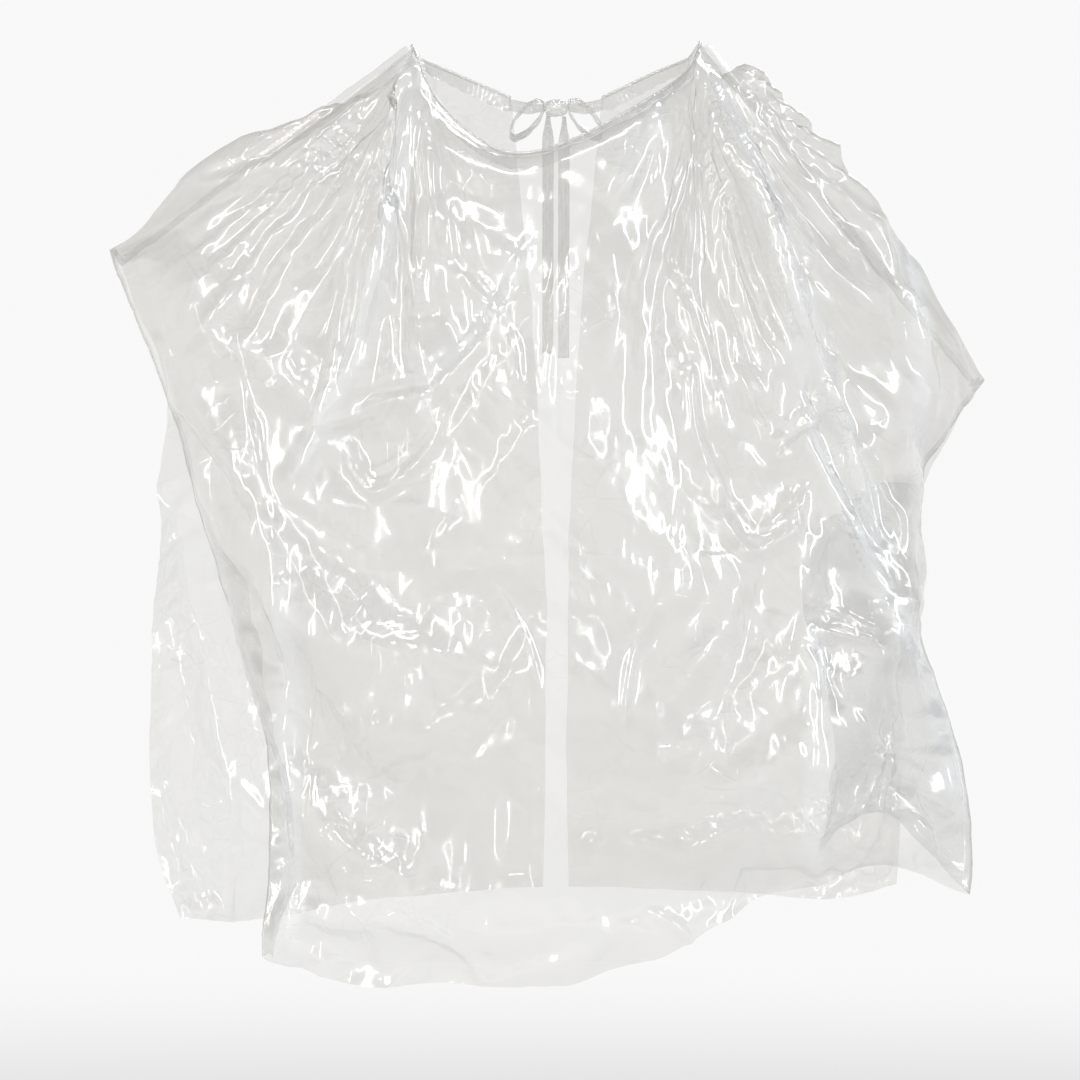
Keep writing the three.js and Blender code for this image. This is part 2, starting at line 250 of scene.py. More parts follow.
def back_drape(side):
    """The back film on one side: -1 is the wearer's right. u runs out from the slit."""
    if side < 0:
        top_neck, shoulder, tip, start = neck_right, RIGHT_SHOULDER, RIGHT_TIP, NAPE_RIGHT
        outer = Curve([
            RIGHT_TIP, back(-0.955, 0.36, -0.19), back(-0.889, 0.45, -0.29),
            back(-0.9, 0.54, -0.42), back(-0.915, 0.59, -0.59),
            back(-0.926, 0.62, -0.76), back(-0.915, 0.64, -0.9),
            back(-0.87, 0.67, -0.99),
        ])
        hem = Curve([back(-0.03, 0.95, -0.955), back(-0.44, 1, -0.975), back(-0.7, 0.88, -1),
                     back(-0.87, 0.67, -0.99)])
    else:
        top_neck, shoulder, tip, start = neck_left, LEFT_SHOULDER, LEFT_TIP, NAPE_LEFT
        outer = Curve([
            LEFT_TIP, back(0.9, 0.4, -0.35), back(0.835, 0.47, -0.42), back(0.81, 0.54, -0.52),
            back(0.805, 0.59, -0.65), back(0.797, 0.61, -0.8), back(0.79, 0.63, -0.88),
            back(0.78, 0.63, -0.945),
        ])
        hem = Curve([back(0.03, 0.95, -0.955), back(0.42, 0.98, -0.965), back(0.64, 0.85, -0.97),
                     back(0.78, 0.63, -0.945)])
    slit = Curve([
        start, back(side * 0.088, 0.76, -0.01), back(side * 0.062, 0.94, -0.16),
        back(side * 0.042, 1, -0.34), back(side * 0.028, 0.97, -0.55),
        back(side * 0.024, 0.95, -0.76), back(side * 0.03, 0.95, -0.955),
    ])

    def top(u, v):
        seam = line(shoulder, tip, (u - BACK_NECK_TO) / (1 - BACK_NECK_TO))
        return np.where((u < BACK_NECK_TO)[..., None], top_neck.at(u / BACK_NECK_TO), seam)

    def drape(u, v):
        p = between(top, hem.at, slit.at, outer.at, u, v)
        p[..., 1] += BACK_HANG * (1 - np.abs(2 * u - 1) ** 4) * hang(v)
        return p

    return drape


# ---------------------------------------------------------------- folds
def normals(places, towards):
    """The normals of a grid of places, as [row, column, xyz], on its front (towards -1) or back (1)."""
    across = np.gradient(places, axis=1)
    down = np.gradient(places, axis=0)
    n = np.cross(down, across)
    n /= np.maximum(np.linalg.norm(n, axis=2, keepdims=True), 1e-9)
    rows, columns = places.shape[:2]
    return n if n[rows // 2, columns // 2, 1] * towards > 0 else -n


def crest(places, start, end, height, width, bow=0.0):
    """A sharp-crested fold along a bowed line from start to end, both (x, z)."""
    a, b = np.array(start, float), np.array(end, float)
    side = np.array([-(b - a)[1], (b - a)[0]])
    t = np.linspace(0, 1, 13)[:, None]
    path = a + (b - a) * t + side * bow * 4 * t * (1 - t)
    flat = places[..., [0, 2]]
    best = np.full(flat.shape[:2], 1e9)
    where = np.zeros(flat.shape[:2])
    for k in range(len(path) - 1):
        p, d = path[k], path[k + 1] - path[k]
        s = np.clip(((flat - p) @ d) / (d @ d), 0, 1)
        gap = np.linalg.norm(flat - (p + s[..., None] * d), axis=2)
        closer = gap < best
        best = np.where(closer, gap, best)
        where = np.where(closer, (k + s) / (len(path) - 1), where)
    taper = np.sin(np.pi * np.clip(where * 0.9 + 0.05, 0, 1)) ** 0.5
    return height * taper * np.clip(1 - best / width, 0, 1) ** 1.5


def triangle(x):
    """A wave of straight slopes, from 0 to 1."""
    return np.abs((x % 1) * 2 - 1)


def drift(points, seed):
    """A smooth value from about -1 to 1 at each point."""
    shift = Vector((seed * 3.7, seed * 1.9, seed * 5.3))
    return np.array([noise.noise(Vector(q) + shift) for q in points])


def pleats(places, gather, count, height, near, reach):
    """Pleats that fan out from a gather, full from near to a third of their reach."""
    centre, (low, high) = gather
    dx = places[..., 0] - centre[0]
    dz = places[..., 2] - centre[1]
    distance = np.hypot(dx, dz)
    angle = np.degrees(np.arctan2(dz, dx)) % 360
    share = np.clip((angle - low) / (high - low), 0, 1)
    polar = np.stack([share.ravel() * 5, distance.ravel() / 170, np.full(share.size, 0.3)], axis=1)
    wander = drift(polar, count).reshape(share.shape)
    wave = triangle(share * count + 1.6 * wander) ** 1.3
    inside = ramp(0, 0.06, share) * (1 - ramp(0.94, 1, share))
    uneven = 0.75 + 0.5 * np.sin(share * 29 + centre[0])
    spread = ramp(0.4 * near, near, distance) * (1 - ramp(0.3 * reach, reach, distance))
    return height * uneven * wave * inside * spread


FALL = 0.5  # creases change half as fast down the film as across it


def crumple(places, seed, size, height, often=0.1):
    """Straight creases, most of them running down the film, in patches that come and go."""
    random = np.random.default_rng(seed)
    p = places.reshape(-1, 3) / size * (1, 1, FALL)
    bend = np.stack([drift(p * 0.4, seed + k) for k in range(3)], axis=1)
    p = p + 0.9 * bend
    total = np.zeros(len(p))
    for k in range(5):
        angle = random.uniform(0, math.pi)
        direction = np.array([math.cos(angle), random.uniform(-0.5, 0.5), math.sin(angle)])
        shift = random.uniform(0, 50)
        patch = ramp(-often, 0.35, drift(p * 0.3, seed + 10 + k))
        total += (triangle(p @ direction * random.uniform(0.6, 1.2) + shift) - 0.5) * patch
    return (height * total).reshape(places.shape[:2])


# each gather at the neck: its (x, z), and the angles in degrees that its pleats fan out over
RIGHT_GATHER = ((-85, 63), (182, 288))
LEFT_GATHER = ((86, 67), (250, 350))

# the front's main folds: start and end as (x, z), height, width and how far they bow
FRONT_FOLDS = [
    # down from the right side of the neck, over the chest and upper arm
    ((-87, 58), (-154, -189), 11, 15, 0.06), ((-87, 60), (-154, 15), 7, 11, -0.04),
    ((-85, 55), (-176, -62), 9, 12, 0.05), ((-84, 50), (-112, -90), 9, 11, 0.04),
    ((-80, 42), (-78, -76), 7, 10, 0.05), ((-157, 18), (-198, -6), 5, 8, 0.02),
    ((-263, -68), (-232, -56), 4, 7, 0.05), ((-257, -78), (-240, -108), 4, 7, 0.08),
    ((-120, -10), (-190, -120), 6, 10, -0.06), ((-170, -20), (-215, -110), 6, 11, 0.05),
    ((-79, 60), (-68, 24), 8, 6, 0.05), ((-73, 54), (-66, 20), 5, 4, 0.0),
    ((-16, -46), (-76, -132), 6, 8, 0.08), ((-76, -132), (-136, -152), 6, 8, -0.08),
    ((-127, -160), (-108, -188), 6, 8, -0.1), ((-108, -188), (-68, -152), 6, 8, -0.1),
    ((-162, -225), (-158, -480), 8, 8, 0.01), ((-140, -240), (-150, -420), 5, 9, 0.02),
    ((-190, -130), (-166, -290), 6, 11, 0.04), ((-60, -60), (-20, -125), 4, 7, 0.1),
    # down from the left side of the neck, over the chest and arm
    ((87, 62), (146, -147), 14, 17, 0.05), ((146, -147), (224, -312), 13, 17, -0.03),
    ((224, -312), (243, -392), 9, 13, 0.02), ((90, 58), (130, -112), 9, 11, -0.05),
    ((120, 10), (166, -150), 10, 12, -0.05), ((104, -84), (134, -160), 8, 11, -0.12),
    ((134, -160), (166, -108), 7, 10, -0.16), ((80, -120), (113, -222), 8, 11, -0.10),
    ((113, -222), (150, -190), 7, 10, -0.2), ((59, 34), (36, -18), 6, 8, 0.05),
    ((70, 44), (62, -40), 6, 8, -0.06), ((203, -34), (215, -150), 9, 11, 0.04),
    ((176, -8), (206, -34), 6, 9, -0.1), ((152, -268), (194, -300), 9, 11, 0.14),
    ((152, -276), (150, -420), 8, 9, 0.02), ((190, -180), (196, -262), 7, 10, 0.06),
    ((222, -110), (248, -128), 5, 8, 0.1), ((60, -50), (96, -150), 5, 9, 0.07),
    ((176, -330), (226, -420), 7, 10, 0.06), ((200, -330), (170, -418), 6, 9, 0.08),
    ((100, 20), (150, -120), 8, 8, 0.03), ((92, 50), (186, -230), 10, 11, 0.03),
    ((126, -60), (196, -262), 9, 9, 0.04), ((150, -150), (232, -340), 8, 8, -0.03),
    ((-88, 60), (-124, -51), 9, 9, 0.02), ((-124, -51), (-150, -180), 8, 8, 0.03),
    # the middle and the hem
    ((-96, -446), (-44, -488), 5, 9, 0.12), ((56, -446), (82, -472), 5, 8, 0.1),
    ((10, -40), (-4, -130), 5, 8, -0.06), ((-30, -52), (4, -96), 4, 7, 0.1),
    ((-40, -250), (-10, -330), 3, 9, 0.1), ((60, -260), (40, -350), 3, 9, -0.1),
]


# ---------------------------------------------------------------- making film
def link(name, bm, smooth=True):
    """A bmesh made an object, in millimetres until now."""
    bm.transform(Matrix.Scale(MM, 4))
    mesh = bpy.data.meshes.new(name)
    bm.to_mesh(mesh)
    bm.free()
    made = bpy.data.objects.new(name, mesh)
    bpy.context.collection.objects.link(made)
    for polygon in mesh.polygons:
        polygon.use_smooth = smooth
    return made


def film_grid(name, places):
    """A sheet of film through a grid of places, as [row, column, xyz]."""
    rows, columns = places.shape[0] - 1, places.shape[1] - 1
    bm = bmesh.new()
    bmesh.ops.create_grid(bm, x_segments=columns, y_segments=rows, size=0.5)
    for v in bm.verts:
        v.co = Vector(places[round((0.5 - v.co.y) * rows), round((v.co.x + 0.5) * columns)])
    return link(name, bm)


def read_grid(points, rows, columns):
    """The places of a film_grid's points again, as [row, column, xyz]."""
    return points.reshape(rows + 1, columns + 1, 3)[::-1]


def soften(grid, times):
    """Each place in a grid drawn towards its neighbours, again and again."""
    for _ in range(times):
        q = np.pad(grid, ((1, 1), (1, 1), (0, 0)), mode="edge")
        grid = (q[:-2, 1:-1] + q[2:, 1:-1] + q[1:-1, :-2] + q[1:-1, 2:] + 4 * grid) / 8
    return grid


def settle(places, held, slack, frames, most):
    """The film let go between its held edges with some slack, so that it buckles, by most mm at most."""
    rows, columns = places.shape[0] - 1, places.shape[1] - 1
    draft = film_grid("draft", places)
    group = draft.vertex_groups.new(name="held")
    weights = held[::-1].reshape(-1)
    for index, weight in enumerate(weights):
        if weight > 0.01:
            group.add([index], float(weight), "REPLACE")
    cloth = draft.modifiers.new("cloth", "CLOTH")
    film = cloth.settings
    film.quality = 5
    film.mass = 0.05
    film.air_damping = 3
    film.tension_stiffness = film.compression_stiffness = 12
    film.shear_stiffness = 4
    film.bending_stiffness = 0.12
    film.tension_damping = film.compression_damping = film.shear_damping = 2
    film.vertex_group_mass = "held"
    film.shrink_min = -slack
    film.effector_weights.gravity = 0.15
    cloth.collision_settings.use_collision = False
    cloth.point_cache.frame_end = frames
    for frame_number in range(1, frames + 1):
        bpy.context.scene.frame_set(frame_number)
    shown = draft.evaluated_get(bpy.context.evaluated_depsgraph_get())
    points = np.zeros(len(shown.data.vertices) * 3)
    shown.data.vertices.foreach_get("co", points)
    bpy.data.objects.remove(draft)
    bpy.context.scene.frame_set(1)
    moved = soften(read_grid(points.reshape(-1, 3) / MM, rows, columns) - places, 2)
    far = np.linalg.norm(moved, axis=2, keepdims=True)
    return places + moved * most * np.tanh(far / most) / np.maximum(far, 1e-6)


def finer(places):
    """Twice as many rows and columns, on smooth curves through the same places."""
    for axis in (0, 1):
        p = np.moveaxis(places, axis, 0)
        first, last = 2 * p[:1] - p[1:2], 2 * p[-1:] - p[-2:-1]
        q = np.concatenate([first, p, last])
        middle = (9 * (q[1:-2] + q[2:-1]) - q[:-3] - q[3:]) / 16
        both = np.empty((2 * len(p) - 1, *p.shape[1:]))
        both[0::2], both[1::2] = p, middle
        places = np.moveaxis(both, 0, axis)
    return places


CROWDING = 1.15  # above 1, a panel's rows lie closer together near the neck


def shares(columns, rows, crowding=1):
    """How far across and how far down each place in a grid lies, from 0 to 1."""
    u, v = np.meshgrid(np.linspace(0, 1, columns + 1), np.linspace(0, 1, rows + 1) ** crowding)
    return u, v


def turned_edge(places, width, gap, columns, lift):
    """More columns past the last one, for a side edge turned back behind the panel by each row's width."""
    n = unit(soften(normals(soften(places, 30), -1), 10))
    count = places.shape[1] - 1
    steps = np.linalg.norm(np.diff(places, axis=1), axis=2).sum(axis=1) / count
    extra = []
    for k in range(1, columns + 1):
        t = k / columns
        at = count - np.clip(t * width / steps, 0, count - 1)
        left = at.astype(int)
        part = (at - left)[:, None]
        rows = np.arange(len(places))
        right = np.minimum(left + 1, count)
        p = places[rows, left] * (1 - part) + places[rows, right] * part
        m = n[rows, left] * (1 - part) + n[rows, right] * part
        away = gap * (1 - (1 - t) ** 4) * np.clip(width / 30, 0.15, 1)
        p = p - m * away[:, None]
        p[:, 2] += lift * math.sin(math.pi * t * 0.8) * ramp(-380, -450, places[:, -1, 2])
        extra.append(p)
    return np.concatenate([places, np.stack(extra, axis=1)], axis=1)


def front_creases(p, share, steepest):
    """All the front's folds, at a share of their width, and no steeper than asked."""
    total = 0
    for start, end, height, width, bow in FRONT_FOLDS:
        narrow = width * share
        total = total + crest(p, start, end, min(height, steepest * narrow), narrow, bow)
    return total


LEFT_TURNED = 22  # columns of each side edge's turned-back part
RIGHT_TURNED = 14

# painted sheen: bands along the front's folds where the film is painted a lighter bluish white and less
# clear: start and end as (x, z), and bow
SHEEN_BANDS = [
    ((88, 60), (146, -147), 0.05), ((146, -147), (224, -312), -0.03),
    ((224, -312), (243, -392), 0.02), ((92, 50), (186, -230), 0.03),
    ((126, -60), (196, -262), 0.04), ((206, -20), (215, -200), 0.04),
    ((-87, 58), (-154, -189), 0.06), ((-162, -225), (-158, -480), 0.01),
    ((-79, 60), (-68, 22), 0.05), ((59, 34), (36, -18), 0.05),
    ((-16, -46), (-76, -132), 0.08), ((152, -276), (150, -420), 0.02),
]


def front_film():
    """The front panel: draped, folded, let settle, creased finely and turned back at its sides."""
    u, v = shares(columns=132, rows=148, crowding=CROWDING)
    p = front_drape(u, v)
    fold = 0
    for gather in (RIGHT_GATHER, LEFT_GATHER):
        fold = fold + pleats(p, gather, count=17, height=9, near=85, reach=230)
    fold = fold + front_creases(p, share=1, steepest=1)
    calm = 1 - 0.5 * ramp(125, 45, np.abs(p[..., 0] - 10)) * ramp(-100, -190, p[..., 2])
    crushed = crumple(p, seed=3, size=60, height=5) + crumple(p, seed=5, size=26, height=1.5)
    fold = fold + calm * crushed
    hem = ramp(0.86, 1, v) * (4 * np.sin(u * 31 + 1) + 2.5 * np.sin(u * 57))
    rim = np.minimum(np.minimum(u, 1 - u) / 0.03, 1)
    p = p + normals(p, -1) * ((fold * (0.35 + 0.65 * rim) + hem) * ramp(0, 0.11, v))[..., None]
    neck_held = (v == 0) * 1.0
    side_held = (np.abs(2 * u - 1) > 0.995) * 0.9
    hem_held = (v > 0.995) * 0.6
    held = np.maximum(np.maximum(neck_held, side_held), hem_held)
    loose = settle(p, held, slack=0.05, frames=26, most=16)
    after_start = ramp(NECK_FROM - 0.03, NECK_FROM + 0.05, u)
    below_neck = after_start * ramp(NECK_TO + 0.03, NECK_TO - 0.05, u)
    held_up = 1 - 0.6 * below_neck * ramp(0.3, 0.04, v)
    p = p + (loose - p) * (calm * held_up)[..., None]
    p = finer(p)
    u, v = shares(columns=264, rows=296, crowding=CROWDING)
    fine = crumple(p, seed=7, size=14, height=0.6, often=0) + crumple(p, seed=9, size=7, height=0.2, often=0)
    fine = fine + front_creases(p, share=0.42, steepest=0.5)
    for gather in (RIGHT_GATHER, LEFT_GATHER):
        fine = fine + pleats(p, gather, count=17, height=2.6, near=38, reach=120)
        fine = fine + pleats(p, gather, count=33, height=1.5, near=95, reach=190)
    on_neck = ramp(NECK_FROM, NECK_FROM + 0.03, u) * (1 - ramp(NECK_TO - 0.02, NECK_TO, u))
    gathers = (triangle(u * 210 + np.sin(u * 70)) - 0.5) * np.exp(-v / 0.03) * on_neck
    fine = fine + 1.6 * gathers * (0.5 + 0.5 * ramp(0.45, 0.6, u))
    p = p + normals(p, -1) * (fine * ramp(0, 0.012, v))[..., None]
    left_width = 3 + 90 * ramp(-190, -300, p[:, -1, 2])
    p = turned_edge(p, left_width, gap=7, columns=LEFT_TURNED, lift=26)
    p = p[:, ::-1]
    right_width = 3 + 17 * ramp(-190, -270, p[:, -1, 2])
    p = turned_edge(p, right_width, gap=4, columns=RIGHT_TURNED, lift=4)[:, ::-1]
    # The mark below: 1 on the turned-back edges, which really lie in two layers of film, and along the sheen
    # bands a painted sheen that whitens the film
    doubled_and_sheen = np.zeros(p.shape[:2])
    for start, end, bow in SHEEN_BANDS:
        band = crest(p, start, end, height=1, width=14, bow=bow)
        doubled_and_sheen = np.maximum(doubled_and_sheen, ramp(0, 0.6, band) * 0.85)
    doubled_and_sheen[:, :RIGHT_TURNED] = doubled_and_sheen[:, -LEFT_TURNED:] = 1
    made = film_grid("front_panel_film", p)
    flat = made.data.attributes.new("doubled_and_sheen", "FLOAT", "POINT")
    flat.data.foreach_set("value", doubled_and_sheen[::-1].ravel().astype(np.float32))
    return made


def back_film(side, name):
    """One back panel: -1 is the wearer's right."""
    u, v = shares(columns=74, rows=140, crowding=CROWDING)
    u = 1 - u if side > 0 else u
    p = back_drape(side)(u, v)
    low = 200 if side < 0 else 250
    gather = ((side * 84, 62), (low, low + 90))
    fold = crumple(p, seed=11 + side, size=60, height=5) + crumple(p, seed=17 + side, size=26, height=1.6)
    fold = fold + pleats(p, gather, count=9, height=7, near=70, reach=230)
    p = p + normals(p, 1) * (fold * ramp(0, 0.04, v))[..., None]
    side_held = (np.minimum(u, 1 - u) < 0.005) * 0.8
    hem_held = (v > 0.995) * 0.5
    held = np.maximum(np.maximum((v == 0) * 1.0, side_held), hem_held)
    p = settle(p, held, slack=0.045, frames=24, most=12)
    p = finer(p)
    v = shares(columns=148, rows=280, crowding=CROWDING)[1]
    fine = crumple(p, seed=21 + side, size=14, height=0.5, often=0)
    p = p + normals(p, 1) * (fine * ramp(0, 0.02, v))[..., None]
    return film_grid(name, p)


# ---------------------------------------------------------------- finishes
class Shade:
    """One output in a material's nodes. Sums and products of shades add their own nodes."""

    def __init__(self, finish, socket):
        self.finish = finish
        self.socket = socket

    def maths(self, operation, a, b):
        return self.finish.node("Math", {"operation": operation}, {0: a, 1: b})

    def __add__(self, other):
        return self.maths("ADD", self, other)

    __radd__ = __add__

    def __sub__(self, other):
        return self.maths("SUBTRACT", self, other)

    def __rsub__(self, other):
        return self.maths("SUBTRACT", other, self)

    def __mul__(self, other):
        return self.maths("MULTIPLY", self, other)

    __rmul__ = __mul__

    def __pow__(self, other):
        return self.maths("POWER", self, other)

    def clamped(self, low, high):
        """0 below low, 1 above high and smooth between."""
        levels = {"Value": self, "From Min": low, "From Max": high}
        return self.finish.node("MapRange", {"interpolation_type": "SMOOTHSTEP"}, levels)


class Finish:
    """The nodes of a material, or of the room, while they are made."""

    def __init__(self, owner):
        owner.use_nodes = True
        self.tree = owner.node_tree
        self.tree.nodes.clear()

    def node(self, kind, settings=None, inputs=None, output=0):
        """A node's output. Its settings are set first, then its inputs' numbers, colours or links."""
        made = self.tree.nodes.new("ShaderNode" + kind)
        for name, value in (settings or {}).items():
            setattr(made, name, value)
        for name, value in (inputs or {}).items():
            if isinstance(value, Shade):
                self.tree.links.new(value.socket, made.inputs[name])
            else:
                made.inputs[name].default_value = value
        return Shade(self, made.outputs[output] if made.outputs else None)


def clear_film(name, haze, tint, crinkle=1.0):
    """Clear polyethylene: see-through face on, milky where it is creased or where the film really lies in
    two layers, and glossy; along the front's sheen bands a painted sheen makes it a lighter bluish white.
    """
    material = bpy.data.materials.new(name)
    f = Finish(material)
    where = f.node("TexCoord", output="Object")
    wander = f.node("TexNoise", {}, {"Vector": where, "Scale": 26.0, "Detail": 2.0}, output="Color")
    moved = f.node("VectorMath", {"operation": "MULTIPLY_ADD"},
                   {0: wander, 1: (0.02, 0.02, 0.02), 2: where})
    ridges = f.node("TexNoise", {"noise_type": "RIDGED_MULTIFRACTAL"},
                    {"Vector": moved, "Scale": 30.0, "Detail": 3.0, "Roughness": 0.55})
    crush = 0
    for direction, scale in (("X", 16.0), ("Z", 9.0), ("DIAGONAL", 13.0)):
        slopes = f.node("TexWave", {"bands_direction": direction, "wave_profile": "TRI"},
                        {"Vector": moved, "Scale": scale, "Distortion": 4.0, "Detail": 2.0}, output="Fac")
        crush = crush + slopes
    creases = f.node("TexVoronoi", {"feature": "DISTANCE_TO_EDGE"}, {"Vector": moved, "Scale": 60.0})
    blotches = f.node("TexNoise", {}, {"Vector": where, "Scale": 12.0, "Detail": 3.0})
    patches = blotches.clamped(0.42, 0.66)
    crease_lines = (1 - creases.clamped(0.0, 0.05)) * patches
    height = ridges * 0.45 + crush * patches * 0.5 + crease_lines * 0.4
    bump = f.node("Bump", {}, {"Height": height, "Strength": 0.25 * crinkle, "Distance": 0.0016})
    facing = f.node("LayerWeight", {}, {"Blend": 0.4, "Normal": bump}, output="Facing")
    haze_blotches = f.node("TexNoise", {}, {"Vector": where, "Scale": 7.0, "Detail": 4.0})
    cloud = haze_blotches.clamped(0.35, 0.75)
    # The front's mark: real two-layer film at its turned-back edges, painted sheen along its fold bands;
    # both make the film less clear
    doubled_and_sheen = f.node("Attribute", {"attribute_name": "doubled_and_sheen"}, {}, output="Fac")
    cover = haze + cloud * 0.05 + crease_lines * 0.1 + facing ** 2.2 * 0.55 + doubled_and_sheen * 0.17
    # The bluish white is painted sheen where the mark lies on fold bands, and the film's own milkiness at
    # its two-layer edges and in the cloud noise
    milk_and_sheen = f.node("Mix", {"data_type": "RGBA"},
                  {0: doubled_and_sheen * 0.9 + cloud * 0.2, 6: tint, 7: (0.9, 0.935, 0.975, 1)}, output=2)
    gloss = f.node("BsdfPrincipled", {}, {
        "Base Color": milk_and_sheen, "Roughness": 0.18, "IOR": 2.6, "Specular IOR Level": 0.9,
        "Coat Weight": 1.0, "Coat Roughness": 0.07, "Coat IOR": 1.9, "Normal": bump,
    })
    clear = f.node("BsdfTransparent", {}, {"Color": (0.886, 0.88, 0.867, 1.0)})
    shown = f.node("MixShader", {}, {0: cover, 1: clear, 2: gloss})
    f.node("OutputMaterial", {}, {"Surface": shown})
    return material


film_finish = clear_film("clear film", 0.22, (0.775, 0.757, 0.73, 1.0))
seal_finish = clear_film("welded film", 0.42, (0.92, 0.925, 0.925, 1.0), 0.6)
band_finish = clear_film("doubled film", 0.3, (0.9, 0.9, 0.9, 1.0), 0.8)
tie_finish = clear_film("gathered film", 0.36, (0.9, 0.9, 0.9, 1.0), 0.7)


# ---------------------------------------------------------------- the film panels
front_panel = front_film()
right_back = back_film(-1, "right_back_film")
left_back = back_film(1, "left_back_film")
for piece in (front_panel, right_back, left_back):
    piece.data.materials.append(film_finish)
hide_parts("front_panel")
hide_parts("right_back_panel")
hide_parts("left_back_panel")
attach(front_panel, "front")
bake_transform(right_back)
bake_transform(left_back)


# ---------------------------------------------------------------- the neck band and shoulder seals
ring = Curve([
    NAPE_RIGHT, neck(-0.69, 0.83, 0.78), neck(-0.955, 0.5, 0.92), RIGHT_SHOULDER,
    *NECK_FRONT_POINTS, LEFT_SHOULDER, neck(0.955, 0.5, 0.94), neck(0.69, 0.83, 0.8), NAPE_LEFT,
])


def band_place(u, v):
    """The band from the right of the nape (u 0) round to the left, and from its top (v 0) down."""
    ahead = unit(ring.along(u + 0.002) - ring.along(u - 0.002))
    inward = unit(np.stack([-ahead[..., 1], ahead[..., 0], np.zeros_like(u)], axis=-1))
    down = unit(np.cross(inward, ahead))
    lean = math.radians(BAND_LEAN)
    slope = inward * math.sin(lean) + down * math.cos(lean)
    face = np.cross(slope, ahead)
    gathers = triangle(u * 150 + 0.9 * np.sin(u * 40) + 0.5 * v) - 0.5
    slack = (0.5 + 1.1 * v) * (0.7 + 0.4 * np.sin(u * 63))
    edge = 0.5 * np.sin(u * 300) * v
    flat = ring.along(u) + inward * BAND_INSET + slope * (v * BAND_WIDTH + edge)[..., None]
    return flat + face * (gathers * slack)[..., None]


def tube(name, path, radius, around, wrinkle):
    """A thin closed tube through a row of places."""
    ahead = unit(np.gradient(path, axis=0))
    side = unit(np.cross(ahead, np.array([0, 0, 1.0])))
    up = np.cross(side, ahead)
    angle = np.linspace(0, 2 * math.pi, around + 1)[:, None, None]
    thick = radius * (1 + wrinkle * np.sin(np.arange(len(path)) * 1.9)[None, :, None])
    places = path[None] + thick * (np.cos(angle) * side[None] + np.sin(angle) * up[None])
    made = film_grid(name, places)
    bm = bmesh.new()
    bm.from_mesh(made.data)
    bmesh.ops.remove_doubles(bm, verts=bm.verts, dist=0.01 * MM)
    bmesh.ops.holes_fill(bm, edges=[e for e in bm.edges if e.is_boundary])
    bmesh.ops.recalc_face_normals(bm, faces=bm.faces)
    bm.to_mesh(made.data)
    bm.free()
    return made


def finish_piece(piece, finish, slot_name, body, *nodes):
    piece.data.materials.append(finish)
    if nodes:
        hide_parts(*nodes)
    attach(piece, body)


u, v = shares(columns=620, rows=8)
neck_band = film_grid("neck_band_gathered", band_place(u, v))
finish_piece(neck_band, band_finish, "band", "front", "neck_band")
rolled_edge = tube("neck_rolled_edge", ring.along(np.linspace(0, 1, 420)), radius=1, around=8, wrinkle=0.22)
finish_piece(rolled_edge, band_finish, "band", "front")


def shoulder_seal(name, shoulder, tip):
    """The fin that the weld leaves, crimped across."""
    u, v = shares(columns=200, rows=5)
    along = unit(tip - shoulder)
    up = np.array([0, 0.4, 0.92])
    up = unit(up - along * (up @ along))
    face = np.cross(along, up)
    crimp = 0.35 * (triangle(u * 62) - 0.5) * (v > 0.1) + 0.9 * np.sin(u * 9 + 1) * v**2
    ragged = SEAL_WIDTH * (1 + 0.05 * np.sin(u * 41) + 0.04 * np.sin(u * 97))
    start = shoulder + along * 3
    places = start + along * (u * (np.linalg.norm(tip - shoulder) - 5))[..., None]
    return film_grid(name, places + up * (v * ragged)[..., None] + face * crimp[..., None])


right_seal = shoulder_seal("right_shoulder_weld", RIGHT_SHOULDER, RIGHT_TIP)
left_seal = shoulder_seal("left_shoulder_weld", LEFT_SHOULDER, LEFT_TIP)
finish_piece(right_seal, seal_finish, "seal", "front", "right_shoulder_seal")
finish_piece(left_seal, seal_finish, "seal", "front", "left_shoulder_seal")


# ---------------------------------------------------------------- the ties and their bow
BOW_MIDDLE = row(0, NECK_BACK + 1.5 * KNOT_SIZE[1], NAPE_RISE - BAND_WIDTH / 2)
BOW_TURN = np.array(Matrix.Rotation(math.radians(BOW_TILT), 3, "X"))


def in_bow(places):
    return BOW_MIDDLE + places @ BOW_TURN.T


def folded_film(name, middle, across, face, wide, wave):
    """A strip of film about its middle line, wide mm across, with the wave of its lengthwise folds."""
    u = shares(columns=TIE_COLUMNS, rows=len(middle) - 1)[0]
    made = film_grid(name, middle + across * ((u - 0.5) * wide)[..., None] + face * wave[..., None])
    thick = made.modifiers.new("thickness", "SOLIDIFY")
    thick.thickness = TIE_THICKNESS * MM
    thick.offset = 0
    return made


def ribbon(name, path, width, rows, twist=0.0):
    """A tie of film, folded lengthwise. path gives places by share, width its width by share."""
    u, v = shares(columns=TIE_COLUMNS, rows=rows)
    ahead = unit(path(v + 0.01) - path(v - 0.01))
    level = unit(np.cross(ahead, row(0, 1, 0)))
    out = np.cross(level, ahead)
    turn = (twist * np.sin(v * 5))[..., None]
    across = level * np.cos(turn) + out * np.sin(turn)
    face = out * np.cos(turn) - level * np.sin(turn)
    wide = width(v)
    pleat = (triangle(u * 2.5 + 0.2 * np.sin(v * 7)) - 0.5) * (0.5 + 0.9 * (1 - wide / TIE_WIDTH))
    crinkle = 0.25 * np.sin(v * 60 + u * 9) * np.sin(v * 23)
    return folded_film(name, path(v), across, face, wide, pleat + crinkle)


